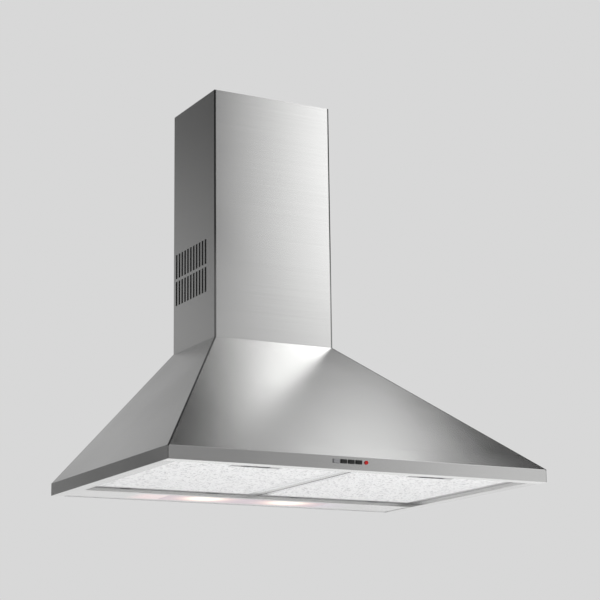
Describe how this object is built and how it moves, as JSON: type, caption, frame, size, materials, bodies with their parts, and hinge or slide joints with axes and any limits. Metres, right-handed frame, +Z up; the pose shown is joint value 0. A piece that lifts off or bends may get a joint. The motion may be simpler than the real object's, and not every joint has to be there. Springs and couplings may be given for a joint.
{
  "type": "chimney range hood",
  "caption": "Wall-mounted steel chimney range hood: pyramid canopy, grease filters, rear lamp strip, push buttons, scroll blower and telescopic vented chimney.",
  "frame": {"origin": "middle of the rear lower edge of the canopy, on the wall plane", "axes": "+X to the right as the cook sees it, +Y into the wall, +Z up; the front faces -Y"},
  "size_m": [0.75, 0.528, 0.78],
  "materials": {
    "brushed_steel": "fine horizontal brushing, satin",
    "galvanised_steel": "galvanised, dull",
    "zinc_screws": "bright zinc plate",
    "black_plastic": "moulded, matte",
    "grey_plastic": "moulded, satin",
    "white_plastic": "moulded, matte",
    "motor_aluminium": "die cast, matte",
    "diffuser": "opal, translucent",
    "lamp_glass": "frosted, warm white",
    "filter_aluminium": "rolled, satin",
    "filter_mesh_aluminium": "expanded mesh, bright",
    "latch_plastic": "moulded, satin",
    "button_grey": "moulded, satin",
    "button_black": "moulded, satin",
    "pilot_red": "clear red lens"
  },
  "bodies": {
    "hood": {"canopy_shell": "brushed_steel", "chimney_lower": "brushed_steel", "light_panel": "brushed_steel", "back_panel": "galvanised_steel", "blower_plate": "galvanised_steel", "chimney_bracket_lower": "galvanised_steel", "motor_bracket": "galvanised_steel", "capacitor_clip": "galvanised_steel", "lamp_tray": "galvanised_steel", "filter_rail": "brushed_steel", "blower_screws": "zinc_screws", "collar_screws": "zinc_screws", "motor_screws": "zinc_screws", "lid_screws": "zinc_screws", "flap_spindle": "zinc_screws", "outlet_collar": "black_plastic", "blower_housing": "black_plastic", "motor_body": "motor_aluminium", "capacitor": "white_plastic", "terminal_box": "white_plastic", "terminal_lid": "white_plastic", "cable_gland": "black_plastic", "lamp_cover": "diffuser", "lamp_bulb_left": "lamp_glass", "lamp_bulb_right": "lamp_glass", "lamp_holder_left": "white_plastic", "lamp_holder_right": "white_plastic", "switch_housing": "black_plastic", "pilot_lamp": "pilot_red"},
    "filter_left": {"filter_frame_left": "filter_aluminium", "filter_mesh_left": "filter_mesh_aluminium"},
    "filter_right": {"filter_frame_right": "filter_aluminium", "filter_mesh_right": "filter_mesh_aluminium"},
    "latch_left": {"filter_latch_left": "latch_plastic"},
    "latch_right": {"filter_latch_right": "latch_plastic"},
    "key_light": {"button_light": "button_grey"},
    "key_speed_1": {"button_speed_1": "button_black"},
    "key_speed_2": {"button_speed_2": "button_black"},
    "key_speed_3": {"button_speed_3": "button_black"},
    "fan_wheel": {"impeller": "grey_plastic", "motor_shaft": "zinc_screws"},
    "front_flap": {"flap_front": "black_plastic"},
    "rear_flap": {"flap_rear": "black_plastic"},
    "chimney_extension": {"chimney_upper": "brushed_steel", "chimney_bracket_upper": "galvanised_steel"}
  },
  "joints": [
    {"name": "filter_left_swing", "type": "hinge", "parent": "hood", "child": "filter_left", "pos_m": [0, -0.0975, 0.0081], "axis": [1, 0, 0], "range_deg": [0, 60]},
    {"name": "filter_right_swing", "type": "hinge", "parent": "hood", "child": "filter_right", "pos_m": [0, -0.0975, 0.0081], "axis": [1, 0, 0], "range_deg": [0, 60]},
    {"name": "latch_left_slide", "type": "slide", "parent": "filter_left", "child": "latch_left", "axis": [0, 1, 0], "range_m": [0, 0.006], "stiffness_N_per_m": 300, "springref_m": -0.003},
    {"name": "latch_right_slide", "type": "slide", "parent": "filter_right", "child": "latch_right", "axis": [0, 1, 0], "range_m": [0, 0.006], "stiffness_N_per_m": 300, "springref_m": -0.003},
    {"name": "key_light_press", "type": "slide", "parent": "hood", "child": "key_light", "axis": [0, 1, 0], "range_m": [0, 0.002], "stiffness_N_per_m": 300, "springref_m": -0.003},
    {"name": "key_speed_1_press", "type": "slide", "parent": "hood", "child": "key_speed_1", "axis": [0, 1, 0], "range_m": [0, 0.002], "stiffness_N_per_m": 300, "springref_m": -0.003},
    {"name": "key_speed_2_press", "type": "slide", "parent": "hood", "child": "key_speed_2", "axis": [0, 1, 0], "range_m": [0, 0.002], "stiffness_N_per_m": 300, "springref_m": -0.003},
    {"name": "key_speed_3_press", "type": "slide", "parent": "hood", "child": "key_speed_3", "axis": [0, 1, 0], "range_m": [0, 0.002], "stiffness_N_per_m": 300, "springref_m": -0.003},
    {"name": "fan_spin", "type": "hinge", "parent": "hood", "child": "fan_wheel", "pos_m": [0, -0.138, 0.165], "axis": [1, 0, 0], "continuous": true},
    {"name": "rear_flap_swing", "type": "hinge", "parent": "hood", "child": "rear_flap", "pos_m": [0, -0.093, 0.31], "axis": [1, 0, 0], "range_deg": [0, 75]},
    {"name": "front_flap_swing", "type": "hinge", "parent": "hood", "child": "front_flap", "pos_m": [0, -0.093, 0.31], "axis": [-1, 0, 0], "range_deg": [0, 75]},
    {"name": "chimney_slide", "type": "slide", "parent": "hood", "child": "chimney_extension", "axis": [0, 0, 1], "range_m": [0, 0.2]}
  ],
  "couplings": [
    {"joint": "front_flap_swing", "follows": "rear_flap_swing", "ratio": 1}
  ]
}
